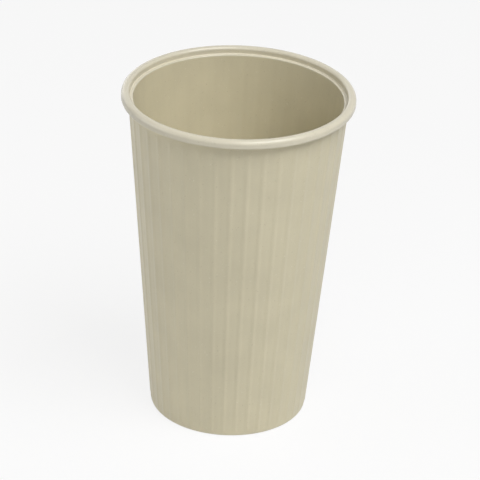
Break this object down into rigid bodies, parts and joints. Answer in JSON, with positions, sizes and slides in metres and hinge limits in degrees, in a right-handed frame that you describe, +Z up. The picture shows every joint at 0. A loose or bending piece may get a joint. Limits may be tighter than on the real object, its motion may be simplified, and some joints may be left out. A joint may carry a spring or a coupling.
{
  "type": "reusable cup",
  "caption": "Tapered moulded drinking cup with fine upright ribs, a rounded rim bead for a press-on lid, a lid seat inside the rim and a recessed foot.",
  "frame": {"origin": "centre of the foot ring, on the plane that the cup stands on", "axes": "+Z up along the cup's axis, from the foot to the rim; a rib's centre line lies over +X"},
  "size_m": [0.09, 0.09, 0.135],
  "materials": {
    "cup_plastic": "matt, warm greyish beige, faintly mottled by its filler"
  },
  "bodies": {
    "root": {"cup": "cup_plastic"}
  },
  "joints": []
}
